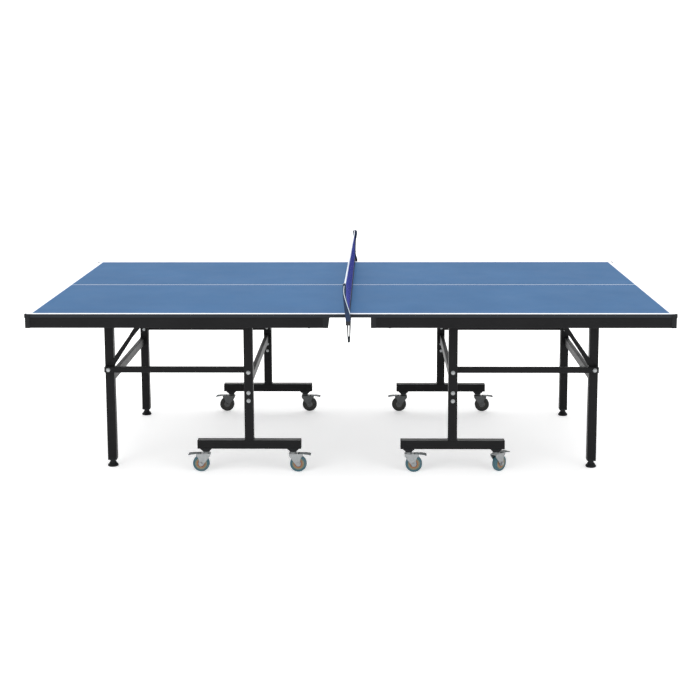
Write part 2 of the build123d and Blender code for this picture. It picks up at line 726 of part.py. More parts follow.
def net_cloth():
    """The net as one thin stretched sheet, bent on its diagonal to follow the leaning near post."""
    low, high = play_height + 1.5, play_height + net_height
    x0 = net_cloth_x - net_cloth_thickness / 2
    near_foot, near_top = (x0, -post_inner_y, low), (x0 - near_lean, -post_inner_y, high)
    far_foot, far_top = (x0, post_inner_y, low), (x0, post_inner_y, high)
    with BuildPart() as made:
        for corners in ((near_foot, far_foot, far_top), (near_foot, far_top, near_top)):
            extrude(Face(Wire.make_polygon(corners)), amount=net_cloth_thickness, dir=(1, 0, 0))
    return made.part


def net_cord(s, lean):
    """The tension cord that runs down the outer face of a post and hooks on its foot."""
    y = s * (net_outer_y + cord_d / 2 + 0.1)
    top_x = net_post_x - lean
    points = [(top_x - 1, y, 905), (top_x - 4.5, y, 882), (net_post_x - 0.55 * lean - 4, y, 852),
              (net_post_x - 0.2 * lean, y, 822), (net_post_x + 8, y, 790)]
    with BuildPart() as made:
        with BuildLine() as path:
            FilletPolyline(*points, radius=30.0)
        with BuildSketch(Plane(origin=points[0], z_dir=Vector(*points[1]) - Vector(*points[0]))):
            Circle(cord_d / 2)
        sweep(path=path.wires()[0])
    return made.part


# ---- write every node ------------------------------------------------------------------------
# Which way each caster trails, in degrees from +X.
trail_directions = {
    "left_front_outer": 180, "left_front_inner": 0, "left_back_outer": 180, "left_back_inner": 0,
    "right_front_inner": 0, "right_front_outer": 45, "right_back_inner": 180, "right_back_outer": 0,
}

groups = {
    "board": [board()],
    "table_frame": table_frame(),
    "table_bolts": table_bolts(),
    "tee_frames": tee_frames(),
    "stand_bar": stand_bar(),
    "stand_fittings": stand_fittings(),
    "stand_bolts": stand_bolts(),
    "leg_frame": leg_frame(),
    "leg_plugs": leg_plugs(),
    "knee_bolts": knee_bolts(),
    "front_foot": levelling_foot("front"),
    "back_foot": levelling_foot("back"),
    "link_bars": link_bars(),
    "stay_bars": stay_bars(),
    "stay_levers": stay_levers(),
}
for side in SIDES:
    for name, solids in groups.items():
        save_group(for_side(solids, side), f"{side}_{name}")
save_group(table_trim(), "right_table_trim")
save_group([solid.rotate(Axis.Z, 180) for solid in table_trim()], "left_table_trim")

caster_pieces = {"fork": caster_fork(), "wheel": caster_wheel(), "pedal": brake_pedal()}
for corner, angle in trail_directions.items():
    side, end, place = corner.split("_")
    reach = foot_bar_inner + caster_inset if place == "inner" else foot_bar_outer - caster_inset
    spot = Location((SIDES[side] * reach, ENDS[end] * post_y, 0), (0, 0, angle))
    for name, solids in caster_pieces.items():
        save_group([solid.moved(spot) for solid in solids], f"{corner}_{name}")

save_group([net_cloth(), net_cord(-1, near_lean), net_cord(1, 0.0)], "net_cloth")
save_group([net_post(-1, near_lean, 11.0, 7.0, 740.0), net_post(1, -2.5, 16.0, 12.0, 727.0)], "net_posts")
save_group(net_lever(-1), "net_front_lever")
save_group(net_lever(1), "net_back_lever")
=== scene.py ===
"""Looks for the folding ping pong table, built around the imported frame.  Metres, +Z up."""

import json
import math

import bmesh
import bpy
from mathutils import Matrix, Vector


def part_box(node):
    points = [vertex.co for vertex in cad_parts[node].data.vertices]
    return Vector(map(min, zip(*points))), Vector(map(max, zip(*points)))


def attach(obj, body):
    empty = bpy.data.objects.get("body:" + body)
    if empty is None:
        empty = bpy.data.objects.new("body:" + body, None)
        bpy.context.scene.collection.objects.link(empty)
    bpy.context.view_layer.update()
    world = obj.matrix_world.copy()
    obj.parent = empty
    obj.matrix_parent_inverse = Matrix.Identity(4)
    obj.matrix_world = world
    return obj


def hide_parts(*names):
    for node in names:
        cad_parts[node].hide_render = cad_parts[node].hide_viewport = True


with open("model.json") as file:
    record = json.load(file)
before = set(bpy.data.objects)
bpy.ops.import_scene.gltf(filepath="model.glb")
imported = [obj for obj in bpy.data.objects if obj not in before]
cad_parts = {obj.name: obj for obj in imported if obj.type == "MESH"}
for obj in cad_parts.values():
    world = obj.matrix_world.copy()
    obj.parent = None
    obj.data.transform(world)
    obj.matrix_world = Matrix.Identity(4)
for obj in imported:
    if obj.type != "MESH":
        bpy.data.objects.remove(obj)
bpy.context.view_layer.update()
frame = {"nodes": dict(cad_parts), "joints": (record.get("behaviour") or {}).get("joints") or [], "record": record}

SIDES = {"left": -1, "right": 1}
ENDS = {"front": -1, "back": 1}

# ---- places read from the frame ---------------------------------------------------------------
edge_x, edge_y, top_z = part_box("right_board")[1]
joints = {joint["name"]: joint for joint in frame["joints"]}

# Places along the table that several pieces share: |x| and |y| from its middle.
inner_rail_x, stand_post_x, leg_x, leg_y = 0.142, 0.452, 1.083, 0.447
half_tube = 0.020
net_post_x = -0.0025
UP = Vector((0, 0, 1))


# ---- node materials ---------------------------------------------------------------------------
class Surface:
    """A procedural material: its node tree, its shader and short ways to add to it."""

    def __init__(self, name):
        self.material = bpy.data.materials.new(name)
        self.material.use_nodes = True
        self.tree = self.material.node_tree
        self.shader = self.tree.nodes["Principled BSDF"]
        self.place = self.node("ShaderNodeTexCoord").outputs["Object"]

    def node(self, kind, inputs=None, **settings):
        """A new node.  A socket given as an input is linked, anything else is set."""
        made = self.tree.nodes.new(kind)
        for key, value in settings.items():
            setattr(made, key, value)
        for key, value in (inputs or {}).items():
            if isinstance(value, bpy.types.NodeSocket):
                self.tree.links.new(value, made.inputs[key])
            else:
                made.inputs[key].default_value = value
        return made

    def math(self, operation, a, b=0.0, c=0.0):
        """The result of one math node."""
        return self.node("ShaderNodeMath", {0: a, 1: b, 2: c}, operation=operation).outputs[0]

    def noise(self, scale, detail=3.0, roughness=0.55, place=None):
        """Fractal noise from 0 to 1, in cycles a metre."""
        return self.node("ShaderNodeTexNoise", {
            "Vector": place or self.place, "Scale": scale, "Detail": detail, "Roughness": roughness,
        }).outputs["Fac"]

    def stretched(self, scale):
        """The object's coordinates, multiplied by a different number along each axis."""
        return self.node("ShaderNodeMapping", {"Vector": self.place, "Scale": scale}).outputs[0]

    def ramp(self, value, low, high):
        """value carried from low..high to 0..1, smoothly."""
        made = self.node("ShaderNodeMapRange", {"Value": value, "From Min": low, "From Max": high},
                         interpolation_type="SMOOTHSTEP")
        return made.outputs["Result"]

    def span(self, value, low, high):
        """value, from 0 to 1, carried to low..high."""
        return self.node("ShaderNodeMapRange", {"Value": value, "To Min": low, "To Max": high}
                         ).outputs["Result"]

    def mix(self, share, first, second):
        """A colour between two, each a colour or a socket."""
        made = self.node("ShaderNodeMix", data_type="RGBA")
        for index, value in ((0, share), (6, first), (7, second)):
            if isinstance(value, bpy.types.NodeSocket):
                self.tree.links.new(value, made.inputs[index])
            else:
                made.inputs[index].default_value = value if index == 0 else (*value, 1.0)
        return made.outputs[2]

    def axes(self):
        """The object's x, y and z as three sockets."""
        return self.node("ShaderNodeSeparateXYZ", {0: self.place}).outputs[:3]

    def bump(self, height, distance, strength=1.0, under=None):
        """A bumped normal, on top of another one if given."""
        made = self.node("ShaderNodeBump", {"Height": height, "Distance": distance,
                                            "Strength": strength})
        if under is not None:
            self.tree.links.new(under, made.inputs["Normal"])
        return made.outputs["Normal"]

    def finish(self, color, roughness, normal=None, **fixed):
        """Joins everything to the shader.  fixed are plain numbers on its own sockets."""
        for key, value in (("Base Color", color), ("Roughness", roughness), ("Normal", normal)):
            if isinstance(value, bpy.types.NodeSocket):
                self.tree.links.new(value, self.shader.inputs[key])
            elif value is not None:
                self.shader.inputs[key].default_value = value
        for key, value in fixed.items():
            self.shader.inputs[key.replace("_", " ")].default_value = value
        return self.material


def playing_surface():
    """Blue lacquer with white edge and centre lines above, black banding and backing below."""
    s = Surface("playing_surface")
    x, y, z = s.axes()
    line, half_centre, banding_top = 0.020, 0.0028, top_z - 0.0007
    across, along = s.math("ABSOLUTE", y), s.math("ABSOLUTE", x)
    side_line = s.math("GREATER_THAN", across, edge_y - line)
    end_line = s.math("GREATER_THAN", along, edge_x - line)
    centre_line = s.math("LESS_THAN", across, half_centre)
    lines = s.math("MAXIMUM", s.math("MAXIMUM", side_line, end_line), centre_line)
    cloud = s.noise(2.4, 4.0)
    grain = s.noise(900.0, 2.0)
    blue = s.mix(s.ramp(cloud, 0.3, 0.7), (0.037, 0.104, 0.221), (0.042, 0.115, 0.241))
    blue = s.mix(s.math("MULTIPLY", s.ramp(grain, 0.45, 0.8), 0.22), blue, (0.058, 0.138, 0.270))
    white = s.mix(s.ramp(s.noise(60.0, 3.0), 0.3, 0.75), (0.78, 0.80, 0.84), (0.70, 0.73, 0.78))
    painted = s.mix(lines, blue, white)
    fibre = s.noise(1.0, 4.0, 0.7, s.stretched((260.0, 260.0, 900.0)))
    backing = s.mix(fibre, (0.016, 0.018, 0.021), (0.034, 0.037, 0.042))
    above = s.math("GREATER_THAN", z, banding_top)
    color = s.mix(above, backing, painted)
    rough = s.span(s.noise(7.0, 4.0), 0.40, 0.50)
    step = s.bump(lines, 0.00006, 0.6)
    normal = s.bump(grain, 0.00004, 0.8, step)
    return s.finish(color, rough, normal, Specular_IOR_Level=0.01)


def powder_coat(name, dark, light, rough):
    """Semi-gloss powder coat: fine peel, clouding, dust on what faces up, most near the floor."""
    s = Surface(name)
    facing = s.node("ShaderNodeTexCoord").outputs["Normal"]
    up = s.node("ShaderNodeSeparateXYZ", {0: facing}).outputs[2]
    cloud = s.noise(9.0, 4.0)
    base = s.mix(cloud, dark, light)
    low = s.math("SUBTRACT", 1.0, s.ramp(s.axes()[2], 0.12, 0.30))
    settled = s.math("ADD", s.span(s.noise(30.0, 5.0, 0.7), 0.05, 0.28),
                     s.math("MULTIPLY", low, 0.55))
    dust = s.math("MULTIPLY", s.ramp(up, 0.55, 0.98), settled)
    base = s.mix(dust, base, (0.170, 0.171, 0.170))
    scuff = s.ramp(s.noise(1.0, 6.0, 0.75, s.stretched((34.0, 90.0, 60.0))), 0.68, 0.80)
    base = s.mix(s.math("MULTIPLY", scuff, 0.30), base, (0.035, 0.035, 0.036))
    roughness = s.span(s.noise(45.0, 3.0), rough - 0.06, rough + 0.09)
    peel = s.noise(1500.0, 2.0)
    pits = s.noise(260.0, 3.0)
    normal = s.bump(peel, 0.00005, 0.5, s.bump(pits, 0.00010, 0.35))
    return s.finish(base, roughness, normal, Specular_IOR_Level=0.10, Coat_Weight=0.02,
                    Coat_Roughness=0.30)


def moulded(name, dark, light, rough, grain_scale=1100.0):
    """Moulded plastic with a fine spark-eroded grain and faint flow marks."""
    s = Surface(name)
    flow = s.noise(1.0, 4.0, 0.6, s.stretched((22.0, 22.0, 70.0)))
    cells = s.node("ShaderNodeTexVoronoi", {"Vector": s.place, "Scale": grain_scale},
                   feature="SMOOTH_F1").outputs["Distance"]
    base = s.mix(flow, dark, light)
    base = s.mix(s.math("MULTIPLY", s.ramp(cells, 0.2, 0.8), 0.25), base, light)
    roughness = s.span(s.noise(80.0, 3.0), rough - 0.05, rough + 0.08)
    normal = s.bump(cells, 0.00005, 0.6, s.bump(flow, 0.0002, 0.15))
    return s.finish(base, roughness, normal, Specular_IOR_Level=0.12)


def zinc_plate(name, tone):
    """Zinc plate with faint crystal patches, pressing lines and dull spots, darkened by tone; a low tone paints
    shade.
    """
    s = Surface(name)

    def grade(color):
        return tuple(tone * value for value in color)

    spangle = s.node("ShaderNodeTexVoronoi", {"Vector": s.place, "Scale": 190.0}).outputs["Color"]
    grey = s.node("ShaderNodeSeparateColor", {0: spangle}).outputs[0]
    lines = s.noise(1.0, 3.0, 0.6, s.stretched((60.0, 60.0, 1800.0)))
    base = s.mix(grey, grade((0.50, 0.52, 0.53)), grade((0.60, 0.62, 0.63)))
    dull = s.ramp(s.noise(70.0, 5.0, 0.7), 0.52, 0.72)
    base = s.mix(s.math("MULTIPLY", dull, 0.5), base, grade((0.36, 0.37, 0.36)))
    roughness = s.span(s.math("ADD", s.math("MULTIPLY", grey, 0.4), s.math("MULTIPLY", lines, 0.6)),
                       0.34, 0.52)
    normal = s.bump(lines, 0.00003, 0.5, s.bump(dull, 0.00004, 0.4))
    return s.finish(base, roughness, normal, Metallic=0.85)


def rubber(name, dark, light, rough, dusty=0.25):
    """Wheel rubber or nylon: scuffed, dusty in patches, with a soft grain."""
    s = Surface(name)
    scuff = s.noise(140.0, 6.0, 0.75)
    base = s.mix(s.ramp(scuff, 0.35, 0.7), dark, light)
    dust = s.ramp(s.noise(38.0, 4.0), 0.5, 0.75)
    base = s.mix(s.math("MULTIPLY", dust, dusty), base, (0.22, 0.21, 0.19))
    grain = s.noise(1700.0, 2.0)
    roughness = s.span(scuff, rough - 0.06, rough + 0.10)
    normal = s.bump(grain, 0.00006, 0.6, s.bump(scuff, 0.00010, 0.5))
    return s.finish(base, roughness, normal, Specular_IOR_Level=0.4)


def thread(name, dark, light, twist):
    """Spun thread: twisted fibres across the strand, dull, with a soft sheen."""
    s = Surface(name)
    fibres = s.node("ShaderNodeTexWave", {
        "Vector": s.place, "Scale": twist, "Distortion": 3.0, "Detail": 2.0, "Detail Scale": 2.0,
    }, bands_direction="DIAGONAL").outputs["Fac"]
    fuzz = s.noise(2200.0, 3.0)
    base = s.mix(fibres, dark, light)
    base = s.mix(s.math("MULTIPLY", fuzz, 0.3), base, light)
    normal = s.bump(fibres, 0.00008, 0.7, s.bump(fuzz, 0.00005, 0.5))
    return s.finish(base, s.span(fuzz, 0.72, 0.90), normal, Sheen_Weight=0.25, Sheen_Roughness=0.5,
                    Specular_IOR_Level=0.3)


def woven_tape(name, dark, light):
    """Binding tape: a plain weave of flat yarns."""
    s = Surface(name)
    warp = s.node("ShaderNodeTexWave", {"Vector": s.place, "Scale": 330.0, "Distortion": 0.6,
                                        "Detail": 1.0}, bands_direction="Y").outputs["Fac"]
    weft = s.node("ShaderNodeTexWave", {"Vector": s.place, "Scale": 330.0, "Distortion": 0.6,
                                        "Detail": 1.0}, bands_direction="Z").outputs["Fac"]
    weave = s.math("MULTIPLY", warp, weft)
    fuzz = s.noise(1500.0, 4.0)
    base = s.mix(weave, dark, light)
    base = s.mix(s.math("MULTIPLY", s.ramp(s.noise(12.0, 4.0), 0.4, 0.7), 0.18), base, dark)
    normal = s.bump(weave, 0.00018, 0.7, s.bump(fuzz, 0.00005, 0.5))
    return s.finish(base, s.span(fuzz, 0.70, 0.88), normal, Sheen_Weight=0.2,
                    Specular_IOR_Level=0.3)


def clamp_paint():
    """Navy paint on the net posts, black on the clamps below them."""
    s = Surface("post_paint")
    z = s.axes()[2]
    cloud = s.noise(26.0, 4.0)
    navy = s.mix(cloud, (0.004, 0.015, 0.045), (0.008, 0.024, 0.066))
    black = s.mix(cloud, (0.007, 0.008, 0.009), (0.014, 0.015, 0.018))
    chips = s.ramp(s.noise(210.0, 5.0, 0.8), 0.70, 0.76)
    base = s.mix(s.ramp(z, top_z - 0.004, top_z - 0.002), black, navy)
    base = s.mix(s.math("MULTIPLY", chips, 0.5), base, (0.10, 0.12, 0.15))
    normal = s.bump(s.noise(1400.0, 2.0), 0.00004, 0.5, s.bump(cloud, 0.0002, 0.1))
    return s.finish(base, s.span(cloud, 0.30, 0.42), normal, Specular_IOR_Level=0.25,
                    Coat_Weight=0.08, Coat_Roughness=0.25)


def pale_floor():
    """The studio floor: plain and pale, glowing slightly, with a trace of unevenness."""
    s = Surface("pale_floor")
    cloud = s.noise(0.7, 3.0)
    s.shader.inputs["Emission Color"].default_value = (1.0, 1.0, 1.0, 1.0)
    return s.finish(s.mix(cloud, (0.90, 0.90, 0.90), (0.92, 0.92, 0.92)), s.span(cloud, 0.7, 0.8),
                    Specular_IOR_Level=0.1, Emission_Strength=0.45)


materials = {
    "playing_surface": playing_surface(),
    "steel": powder_coat("black_powder_coat", (0.0045, 0.0045, 0.0052), (0.0088, 0.0088, 0.0095),
                         0.42),
    "plastic": moulded("black_moulding", (0.0080, 0.0085, 0.0095), (0.0150, 0.0160, 0.0175), 0.46),
    "pedal": moulded("pedal_moulding", (0.085, 0.100, 0.105), (0.160, 0.180, 0.186), 0.42, 900.0),
    "lever": moulded("lever_moulding", (0.010, 0.013, 0.016), (0.020, 0.027, 0.031), 0.36),
    "zinc": zinc_plate("zinc_plate", 0.60),
    "bolt": zinc_plate("bolt_zinc", 0.62),
    # A darker copy of the zinc: painted shade for the back forks, which sit in the table's shadow.
    "shaded_zinc": zinc_plate("shaded_zinc", 0.16),
    "tread": rubber("tread_rubber", (0.026, 0.084, 0.110), (0.050, 0.125, 0.150), 0.55),
    "centre": rubber("wheel_centre", (0.165, 0.150, 0.095), (0.235, 0.215, 0.145), 0.50),
    # The three darker rubbers below are painted shade: copies of the wheel rubbers, darkened for the back wheels
    # in the table's shadow.
    "shaded_tread": rubber("shaded_tread_rubber", (0.006, 0.007, 0.007), (0.013, 0.015, 0.015),
                         0.55, 0.04),
    "shaded_centre": rubber("shaded_wheel_centre", (0.012, 0.012, 0.011), (0.024, 0.023, 0.020),
                          0.50, 0.06),
    "shaded_guard": rubber("shaded_thread_guard", (0.022, 0.020, 0.017), (0.040, 0.035, 0.029),
                         0.50, 0.08),
    "hub": rubber("wheel_hub", (0.085, 0.090, 0.092), (0.135, 0.140, 0.142), 0.48),
    "guard_ring": rubber("thread_guard", (0.34, 0.120, 0.040), (0.44, 0.170, 0.065), 0.50),
    "net": thread("net_thread", (0.008, 0.016, 0.17), (0.018, 0.032, 0.31), 260.0),
    "tape": woven_tape("white_tape", (0.62, 0.66, 0.72), (0.80, 0.83, 0.88)),
    "blue_tape": woven_tape("blue_tape", (0.008, 0.016, 0.12), (0.016, 0.030, 0.22)),
    "stitch": thread("stitch_thread", (0.55, 0.58, 0.64), (0.78, 0.80, 0.85), 500.0),
    "blue_stitch": thread("blue_stitch_thread", (0.010, 0.020, 0.18), (0.026, 0.046, 0.34), 500.0),
    "weld": powder_coat("weld_paint", (0.0085, 0.0085, 0.0095), (0.0150, 0.0150, 0.0160), 0.36),
    "cord": thread("tension_cord", (0.40, 0.48, 0.55), (0.62, 0.70, 0.76), 420.0),
    "post": clamp_paint(),
    "floor": pale_floor(),
}


def dress(node, name):
    """Gives a CAD node its material."""
    mesh = frame["nodes"][node].data
    mesh.materials.clear()
    mesh.materials.append(materials[name])


finishes = {
    "playing_surface": "playing_surface", "black_steel": "steel", "black_plastic": "plastic",
    "zinc": "zinc", "tyre_grey": "tread", "pedal_plastic": "pedal", "net_fabric": "net",
    "post_paint": "post",
}
for entry in frame["record"]["subparts"]:
    dress(entry["node"], finishes[entry["material_slot"]])
for end in ENDS:
    dress(f"net_{end}_lever", "lever")
for side in SIDES:
    for bolts in ("table_bolts", "stand_bolts", "knee_bolts"):
        dress(f"{side}_{bolts}", "bolt")
    # The back forks take the darker zinc copy as painted shade.
    for place in ("inner", "outer"):
        dress(f"{side}_back_{place}_fork", "shaded_zinc")


# ---- mesh helpers -----------------------------------------------------------------------------
class Shape:
    """Corners and faces gathered into one mesh piece, with a material for each face."""

    def __init__(self, name, *names):
        self.name, self.names = name, names
        self.corners, self.faces, self.marks = [], [], []

    def ring(self, points):
        """Adds points and returns their numbers."""
        first = len(self.corners)
        self.corners += [tuple(point) for point in points]
        return list(range(first, len(self.corners)))

    def bridge(self, a, b, mark=0, closed=True):
        """Faces between two rings of equal length."""
        count = len(a)
        for i in range(count if closed else count - 1):
            j = (i + 1) % count
            self.faces.append((a[i], a[j], b[j], b[i]))
            self.marks.append(mark)

    def cap(self, ring, mark=0):
        """One face over a ring."""
        self.faces.append(tuple(ring))
        self.marks.append(mark)

    def loft(self, rings, mark=0):
        """Faces along a run of rings, and one face over each end."""
        for a, b in zip(rings, rings[1:]):
            self.bridge(a, b, mark)
        self.cap(rings[0], mark)
        self.cap(rings[-1], mark)

    def build(self, body, smooth_angle=35.0, place=None):
        """Makes the object, riding on a body."""
        mesh = bpy.data.meshes.new(self.name)
        mesh.from_pydata(self.corners, [], self.faces)
        for name in self.names:
            mesh.materials.append(materials[name])
        mesh.polygons.foreach_set("material_index", self.marks)
        mesh.update()
        mesh.validate()
        recalculate(mesh)
        mesh.polygons.foreach_set("use_smooth", [True] * len(mesh.polygons))
        mesh.set_sharp_from_angle(angle=math.radians(smooth_angle))
        piece = bpy.data.objects.new(self.name, mesh)
        bpy.context.scene.collection.objects.link(piece)
        if place is not None:
            piece.matrix_world = place
        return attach(piece, body)


def recalculate(mesh):
    """Turns every face outwards."""
    work = bmesh.new()
    work.from_mesh(mesh)
    bmesh.ops.recalc_face_normals(work, faces=work.faces)
    work.to_mesh(mesh)
    work.free()


def tube_ring(centre, across, up, radius, count):
    """A circle of points about centre, in the plane of two unit directions."""
    turn = 2 * math.pi / count
    return [centre + radius * (math.cos(i * turn) * across + math.sin(i * turn) * up)
            for i in range(count)]


# ---- casters ----------------------------------------------------------------------------------
wheel_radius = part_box("left_front_inner_wheel")[1].z / 2
axle_radius = 0.00408
# The back wheels take the darker rubber copies as painted shade for the shadow under the table.
wheel_rims = {
    "front": ("tread", "centre", "guard_ring"),
    "back": ("shaded_tread", "shaded_centre", "shaded_guard"),
}


def wheel_profile():
    """Half profile of a wheel from bore to tread, as (radius, half width, material number)."""
    r = wheel_radius
    tyre_in = 0.0272
    return [
        (axle_radius, 0.0134, 3), (0.0068, 0.0134, 3), (0.0072, 0.0128, 3), (0.0090, 0.0128, 3),
        (0.0096, 0.0122, 3), (0.0100, 0.0100, 3), (0.0112, 0.0096, 4), (0.0146, 0.0092, 4),
        (0.0150, 0.0100, 2), (0.0156, 0.0106, 2), (0.0184, 0.0106, 2), (0.0190, 0.0098, 1),
        (0.0198, 0.0094, 1), (0.0206, 0.0106, 1), (0.0258, 0.0110, 1), (0.0264, 0.0104, 0),
        (tyre_in, 0.0104, 0), (tyre_in + 0.0008, 0.0115, 0), (0.0310, 0.0119, 0),
        (0.0338, 0.0116, 0), (0.0356, 0.0104, 0), (0.0368, 0.0084, 0),
        (r - 0.0001, 0.0058, 0), (r, 0.0030, 0), (r, 0.0, 0),
    ]


def wheel(name, body, place, rim_materials):
    """A caster wheel turned about its own Y axis: tyre, centre, thread guard, bearing and hub."""
    bearing = 3
    shape = Shape(name, *rim_materials, "zinc", "hub")
    count = 72
    half = wheel_profile()
    outline = half + [(r, -w, m) for r, w, m in reversed(half[:-1])]
    rings = []
    for r, w, _ in outline:
        rings.append(shape.ring([(r * math.cos(2 * math.pi * i / count), w,
                                  r * math.sin(2 * math.pi * i / count)) for i in range(count)]))
    for index in range(len(outline) - 1):
        mark = outline[index][2] if index < len(half) - 1 else outline[index + 1][2]
        shape.bridge(rings[index], rings[index + 1], mark)
    shape.bridge(rings[-1], rings[0], bearing)
    return shape.build(body, 28.0, place)


def caster_wheel(corner, rim_materials):
    """The wheel of one caster, on its own axle."""
    spin = joints[f"{corner}_wheel_turn"]
    across = Vector(spin["axis"])
    facing = Matrix((across.cross(UP), across, UP)).transposed().to_4x4()
    piece = wheel(f"{corner}_tyre", f"{corner}_roller",
                  Matrix.Translation(spin["pos_m"]) @ facing, rim_materials)
    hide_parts(f"{corner}_wheel")


for side in SIDES:
    for end in ENDS:
        for place in ("inner", "outer"):
            caster_wheel(f"{side}_{end}_{place}", wheel_rims[end])


# ---- net --------------------------------------------------------------------------------------
post_outer_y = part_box("net_posts")[1].y
post_depth = 0.018
net_end = post_outer_y - post_depth
net_top = top_z + 0.1525
net_bottom = top_z + 0.0015
net_x = -0.0022
near_lean = 0.015


def net_place(y, z, out=0.0):
    """A point of the net's middle surface, pushed out along X."""
    near = (net_end - y) / (2 * net_end)
    height = (z - net_bottom) / (net_top - net_bottom)
    ripple = 0.0007 * math.sin(y * 11.0 + 0.8) * math.sin(math.pi * height)
    return Vector((net_x - near_lean * near * height + ripple + out, y, z))


def net_mesh():
    """Knotless netting: upright and level strands that pass over and under each other."""
    shape = Shape("net_mesh", "net")
    radius, weave, end_gap = 0.00060, 0.00042, 0.003
    low, high = net_bottom + 0.002, net_top - 0.004
    columns, rows = 160, 14
    ys = [-net_end + end_gap + (2 * net_end - 2 * end_gap) * i / columns
          for i in range(columns + 1)]
    zs = [low + (high - low) * j / rows for j in range(rows + 1)]
    strand_length = 0.0

    def strand(points, side, up):
        shape.loft([shape.ring(tube_ring(point, side, up, radius, 4)) for point in points])
        return sum((b - a).length for a, b in zip(points, points[1:]))

    out, along = Vector((1, 0, 0)), Vector((0, 1, 0))
    for i, y in enumerate(ys):
        points = [net_place(y, z, weave * (-1) ** (i + j)) for j, z in enumerate(zs)]
        strand_length += strand(points, out, along)
    for j, z in enumerate(zs):
        points = [net_place(y, z, -weave * (-1) ** (i + j)) for i, y in enumerate(ys)]
        strand_length += strand(points, out, UP)
    piece = shape.build("left_table", 60.0)
    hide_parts("net_cloth")
    thread_area = strand_length * 2 * math.sqrt(2) * radius
    return piece, thread_area


def tape_along(name, material, z_low, z_high, half_thickness, inset, bulge=0.0):
    """A folded tape along the net, closed all round, a little thicker at its top if it bulges."""
    shape = Shape(name, material)
    middle = (z_low + z_high) / 2
    shoulder, brow = z_high - 0.0024, z_high - 0.0008
    profile = [(-half_thickness, z_low), (half_thickness, z_low), (half_thickness * 1.05, middle),
               (half_thickness + bulge, shoulder), (half_thickness * 0.75 + bulge, brow),
               (0.0, z_high), (-half_thickness * 0.75 - bulge, brow),
               (-half_thickness - bulge, shoulder), (-half_thickness * 1.05, middle)]
    count = 220
    rings = []
    for i in range(count + 1):
        y = -inset + 2 * inset * i / count
        lift = 0.00022 * math.sin(y * 37.0) + 0.00015 * math.sin(y * 91.0 + 1.0)
        rings.append(shape.ring([net_place(y, z) + Vector((x, 0, lift * (z > middle)))
                                 for x, z in profile]))
    shape.loft(rings)
    piece = shape.build("left_table", 50.0)
    return piece


def stitches(name, material, z, half_thickness, step):
    """A row of lockstitches along both faces of a tape."""
    shape = Shape(name, material)
    margin, proud = 0.01, 0.00012
    half, thick = step * 0.36, 0.00030
    count = int(2 * (net_end - margin) / step)
    outline = ((-half, thick * 0.4), (-half * 0.6, thick), (half * 0.6, thick), (half, thick * 0.4))
    across = Vector((1, 0, 0))
    for face in (-1, 1):
        for i in range(count):
            y = -net_end + margin + (i + 0.5) * step
            centre = net_place(y, z, face * (half_thickness + proud))
            shape.loft([shape.ring(tube_ring(centre + Vector((0, dy, 0)), across, UP, r, 5))
                        for dy, r in outline])
    piece = shape.build("left_table", 60.0)
    return piece


def end_sleeve(name, s):
    """The doubled blue band at an end of the net, next to the post."""
    shape = Shape(name, "blue_tape")
    y_out, y_in = s * net_end, s * (net_end - 0.016)
    steps = 24
    rings = []
    for i in range(steps + 1):
        z = net_bottom + (net_top - 0.0005 - net_bottom) * i / steps
        rings.append(shape.ring([
            net_place(y_out, z, 0.0013), net_place(y_out, z, -0.0013),
            net_place((y_out + y_in) / 2, z, -0.0015), net_place(y_in, z, -0.0010),
            net_place(y_in, z, 0.0010), net_place((y_out + y_in) / 2, z, 0.0015)]))
    shape.loft(rings)
    piece = shape.build("left_table", 50.0)
    return piece


netting, thread_area = net_mesh()
top_tape = tape_along("net_top_tape", "tape", net_top - 0.0165, net_top, 0.00115, net_end, 0.0007)
bottom_tape = tape_along("net_bottom_tape", "blue_tape", net_bottom, net_bottom + 0.009, 0.0010,
                         net_end)
rows = [stitches("net_top_stitches", "stitch", net_top - 0.0148, 0.0012, 0.0052),
        stitches("net_bottom_stitches", "blue_stitch", net_bottom + 0.0062, 0.0010, 0.0060)]
sleeves = [end_sleeve(f"net_{end}_sleeve", s) for end, s in ENDS.items()]


def tension_cord(name, s, lean):
    """The net's tension cord, taut down the outer face of a post whose top leans towards -X."""
    diameter, clearance = 0.0026, 0.0001
    y = s * (post_outer_y + diameter / 2 + clearance)
    top_x = net_post_x - lean
    points = [(top_x - 0.001, y, 0.905), (top_x - 0.0045, y, 0.882),
              (net_post_x - 0.55 * lean - 0.004, y, 0.852), (net_post_x - 0.2 * lean, y, 0.822),
              (net_post_x + 0.008, y, 0.790)]
    curve = bpy.data.curves.new(name, "CURVE")
    curve.dimensions = "3D"
    spline = curve.splines.new("NURBS")
    spline.points.add(len(points) - 1)
    for point, place in zip(spline.points, points):
        point.co = (*place, 1.0)
    spline.order_u = 3
    spline.use_endpoint_u = True
    spline.resolution_u = 16
    curve.bevel_depth = diameter / 2
    curve.bevel_resolution = 4
    curve.use_fill_caps = True
    curve.materials.append(materials["cord"])
    piece = bpy.data.objects.new(name, curve)
    bpy.context.scene.collection.objects.link(piece)
    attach(piece, "left_table")
    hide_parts("net_cloth")
    return piece


tension_cord("net_front_cord", -1, near_lean)
tension_cord("net_back_cord", 1, 0.0)


# ---- welds, screws, foot ribs and the painted-shade strip between the boards ------------------
def bead(shape, points, up, radius):
    """A rippled weld bead along a closed run of points on a flat face whose normal is up."""
    rings = []
    count = len(points)
    for i, point in enumerate(points):
        ahead = (points[(i + 1) % count] - points[i - 1]).normalized()
        side = ahead.cross(up)
        swell = radius * (1.0 + 0.22 * math.cos(i * math.pi) + 0.10 * math.sin(i * 1.7))
        rings.append(shape.ring([point + swell * (math.cos(t) * side + math.sin(t) * up)
                                 for t in (math.pi * k / 5 for k in range(6))]))
    for a, b in zip(rings, rings[1:] + rings[:1]):
        shape.bridge(a, b, closed=False)


